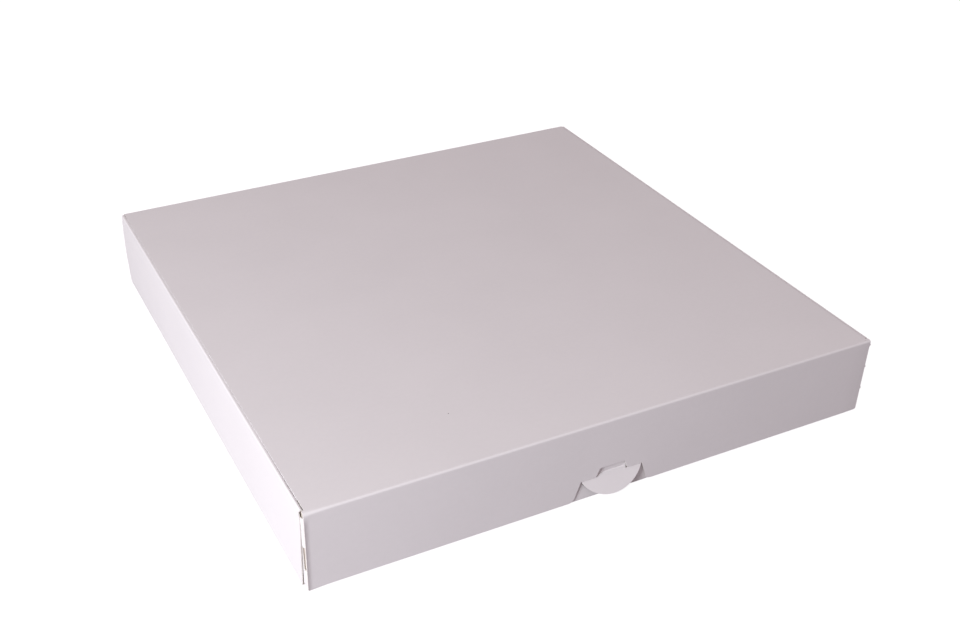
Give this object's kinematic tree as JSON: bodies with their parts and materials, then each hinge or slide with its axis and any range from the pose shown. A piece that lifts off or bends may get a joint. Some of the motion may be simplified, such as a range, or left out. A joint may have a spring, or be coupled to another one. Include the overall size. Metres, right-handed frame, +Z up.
{
  "type": "cake box",
  "caption": "Flat square folding cake box in white paperboard: hinged lid with front flap, roll-over side walls and a lock tab at the front.",
  "frame": {"origin": "centre of the tray's footprint, on the underside of its base", "axes": "+X to the box's right seen from the front flap, +Y towards the lid's hinge, +Z up"},
  "size_m": [0.295, 0.3043, 0.0425],
  "materials": {
    "white_board": "white clay-coated paperboard, satin, with a grey-brown uncoated core at its cut edges"
  },
  "bodies": {
    "tray": {"tray": "white_board"},
    "lid": {"lid": "white_board"},
    "front_flap": {"front_flap": "white_board"}
  },
  "joints": [
    {"name": "lid_hinge", "type": "hinge", "parent": "tray", "child": "lid", "pos_m": [0, 0.14977, 0.04228], "axis": [-1, 0, 0], "range_deg": [0, 180]},
    {"name": "front_flap_hinge", "type": "hinge", "parent": "lid", "child": "front_flap", "pos_m": [0, -0.14977, 0.04228], "axis": [-1, 0, 0], "range_deg": [0, 90]}
  ]
}
